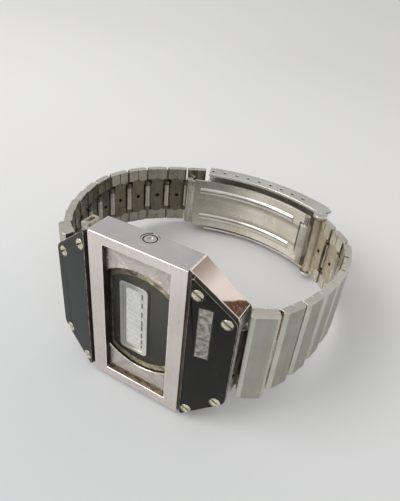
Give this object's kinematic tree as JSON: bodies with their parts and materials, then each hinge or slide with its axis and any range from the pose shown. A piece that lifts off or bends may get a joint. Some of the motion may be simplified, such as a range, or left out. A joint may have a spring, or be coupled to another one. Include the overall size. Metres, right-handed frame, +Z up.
{
  "type": "digital wrist watch",
  "caption": "Digital wrist watch with a rectangular window, sloping black plates and a folded link bracelet with a folding clasp, standing on its side.",
  "frame": {"origin": "centre of the overall box, on the surface the watch stands on", "axes": "+X from 12 to 6 o'clock, +Y from the dial towards the clasp, +Z up through the 3 o'clock side"},
  "size_m": [0.0666, 0.063, 0.0365],
  "materials": {
    "case_steel": "polished block with brushed front",
    "back_steel": "plain",
    "link_steel": "brushed flats, bright bevels",
    "clasp_steel": "polished, scratched",
    "black_rubber": "matt",
    "grey_plastic": "moulded",
    "board_green": "lacquered",
    "brass": "tarnished",
    "display_glass": "polariser film",
    "frame_silver": "satin",
    "dial_black": "matt",
    "clear_glass": "polished",
    "plate_black": "satin lacquer, worn edges"
  },
  "bodies": {
    "case": {"case_body": "case_steel", "case_back": "back_steel", "back_gasket": "black_rubber", "movement_holder": "grey_plastic", "circuit_board": "board_green", "quartz_can": "back_steel", "button_cells": "back_steel", "cell_strap": "brass", "contact_strips": "black_rubber", "contact_leaf": "brass", "lcd_panel": "display_glass", "lcd_frame": "frame_silver", "dial_mask": "dial_black", "gasket_ring": "brass", "window_glass": "clear_glass", "plate_12": "plate_black", "plate_6": "plate_black", "plate_screws_12": "brass", "plate_screws_6": "brass", "name_strip": "frame_silver", "pusher_seal": "black_rubber", "corrector_block": "brass", "spring_bar_12": "back_steel", "spring_bar_6": "back_steel"},
    "pusher": {"pusher": "case_steel"},
    "corrector": {"corrector_pin": "frame_silver"},
    "link_12_01": {"link_12_01": "link_steel"},
    "link_12_02": {"link_12_02": "link_steel"},
    "link_12_03": {"link_12_03": "link_steel"},
    "link_12_04": {"link_12_04": "link_steel"},
    "link_12_05": {"link_12_05": "link_steel"},
    "link_12_06": {"link_12_06": "link_steel"},
    "link_12_07": {"link_12_07": "link_steel"},
    "link_12_08": {"link_12_08": "link_steel"},
    "link_12_09": {"link_12_09": "link_steel"},
    "link_12_10": {"link_12_10": "link_steel"},
    "link_6_01": {"link_6_01": "link_steel"},
    "link_6_02": {"link_6_02": "link_steel"},
    "link_6_03": {"link_6_03": "link_steel"},
    "link_6_04": {"link_6_04": "link_steel"},
    "link_6_05": {"link_6_05": "link_steel"},
    "link_6_06": {"link_6_06": "link_steel"},
    "link_6_07": {"link_6_07": "link_steel"},
    "link_6_08": {"link_6_08": "link_steel"},
    "link_6_09": {"link_6_09": "link_steel"},
    "clasp_inner": {"clasp_blade_inner": "clasp_steel"},
    "clasp_middle": {"clasp_blade_middle": "clasp_steel"},
    "clasp_cover": {"clasp_cover": "clasp_steel", "clasp_pin": "back_steel", "clasp_spring_bar": "back_steel"}
  },
  "joints": [
    {"name": "hinge_12_01", "type": "hinge", "parent": "case", "child": "link_12_01", "pos_m": [-0.016, -0.02263, 0.01779], "axis": [0, 0.1689, 0.9856], "range_deg": [0, 30]},
    {"name": "hinge_12_02", "type": "hinge", "parent": "link_12_01", "child": "link_12_02", "pos_m": [-0.02165, -0.01874, 0.01713], "axis": [0, 0.1689, 0.9856], "range_deg": [0, 18.1]},
    {"name": "hinge_12_03", "type": "hinge", "parent": "link_12_02", "child": "link_12_03", "pos_m": [-0.02502, -0.01433, 0.01637], "axis": [0, 0.1689, 0.9856], "range_deg": [0, 7.3]},
    {"name": "hinge_12_04", "type": "hinge", "parent": "link_12_03", "child": "link_12_04", "pos_m": [-0.0278, -0.00954, 0.01555], "axis": [0, 0.1689, 0.9856], "range_deg": [0, 7.7]},
    {"name": "hinge_12_05", "type": "hinge", "parent": "link_12_04", "child": "link_12_05", "pos_m": [-0.0299, -0.00442, 0.01467], "axis": [0, 0.1689, 0.9856], "range_deg": [0, 6.8]},
    {"name": "hinge_12_06", "type": "hinge", "parent": "link_12_05", "child": "link_12_06", "pos_m": [-0.03137, 0.00091, 0.01376], "axis": [0, 0.1689, 0.9856], "range_deg": [0, 11.9]},
    {"name": "hinge_12_07", "type": "hinge", "parent": "link_12_06", "child": "link_12_07", "pos_m": [-0.03169, 0.00642, 0.01281], "axis": [0, 0.1689, 0.9856], "range_deg": [0, 21.7]},
    {"name": "hinge_12_08", "type": "hinge", "parent": "link_12_07", "child": "link_12_08", "pos_m": [-0.02992, 0.01166, 0.01192], "axis": [0, 0.1689, 0.9856], "range_deg": [0, 14.1]},
    {"name": "hinge_12_09", "type": "hinge", "parent": "link_12_08", "child": "link_12_09", "pos_m": [-0.02691, 0.01631, 0.01112], "axis": [0, 0.1689, 0.9856], "range_deg": [0, 14.5]},
    {"name": "hinge_12_10", "type": "hinge", "parent": "link_12_09", "child": "link_12_10", "pos_m": [-0.02282, 0.02008, 0.01047], "axis": [0, 0.1689, 0.9856], "range_deg": [0, 7.7]},
    {"name": "hinge_6_01", "type": "hinge", "parent": "case", "child": "link_6_01", "pos_m": [0.0204, -0.02263, 0.01779], "axis": [0, -0.1689, -0.9856], "range_deg": [0, 30]},
    {"name": "hinge_6_02", "type": "hinge", "parent": "link_6_01", "child": "link_6_02", "pos_m": [0.02624, -0.019, 0.01717], "axis": [0, -0.1689, -0.9856], "range_deg": [0, 31.1]},
    {"name": "hinge_6_03", "type": "hinge", "parent": "link_6_02", "child": "link_6_03", "pos_m": [0.02874, -0.01406, 0.01632], "axis": [0, -0.1689, -0.9856], "range_deg": [0, 10]},
    {"name": "hinge_6_04", "type": "hinge", "parent": "link_6_03", "child": "link_6_04", "pos_m": [0.03034, -0.00877, 0.01542], "axis": [0, -0.1689, -0.9856], "range_deg": [0, 7.8]},
    {"name": "hinge_6_05", "type": "hinge", "parent": "link_6_04", "child": "link_6_05", "pos_m": [0.0312, -0.00332, 0.01448], "axis": [0, -0.1689, -0.9856], "range_deg": [0, 3.5]},
    {"name": "hinge_6_06", "type": "hinge", "parent": "link_6_05", "child": "link_6_06", "pos_m": [0.03172, 0.00218, 0.01354], "axis": [0, -0.1689, -0.9856], "range_deg": [0, 11.2]},
    {"name": "hinge_6_07", "type": "hinge", "parent": "link_6_06", "child": "link_6_07", "pos_m": [0.03114, 0.00767, 0.0126], "axis": [0, -0.1689, -0.9856], "range_deg": [0, 11.7]},
    {"name": "hinge_6_08", "type": "hinge", "parent": "link_6_07", "child": "link_6_08", "pos_m": [0.02945, 0.01293, 0.0117], "axis": [0, -0.1689, -0.9856], "range_deg": [0, 26.1]},
    {"name": "hinge_clasp", "type": "hinge", "parent": "link_12_10", "child": "clasp_inner", "pos_m": [-0.01825, 0.02326, 0.00993], "axis": [0, 0.1689, 0.9856], "range_deg": [0, 7]},
    {"name": "fold_inner", "type": "hinge", "parent": "clasp_inner", "child": "clasp_middle", "pos_m": [0.0184, 0.02124, 0.01027], "axis": [0, -0.1689, -0.9856], "range_deg": [0, 150]},
    {"name": "fold_cover", "type": "hinge", "parent": "clasp_middle", "child": "clasp_cover", "pos_m": [-0.01143, 0.02549, 0.00955], "axis": [0, -0.1689, -0.9856], "range_deg": [-150, 0]},
    {"name": "hinge_6_09", "type": "hinge", "parent": "clasp_cover", "child": "link_6_09", "pos_m": [0.0214, 0.02074, 0.01036], "axis": [0, 0.1689, 0.9856], "range_deg": [0, 13]},
    {"name": "pusher_slide", "type": "slide", "parent": "case", "child": "pusher", "axis": [0, -0.1689, -0.9856], "range_m": [0, 0.0004], "stiffness_N_per_m": 1500, "springref_m": -0.0003},
    {"name": "corrector_slide", "type": "slide", "parent": "case", "child": "corrector", "axis": [0, -0.1689, -0.9856], "range_m": [0, 0.0005], "stiffness_N_per_m": 1200, "springref_m": -0.0003}
  ],
  "couplings": [
    {"joint": "fold_cover", "follows": "fold_inner", "ratio": -1}
  ]
}
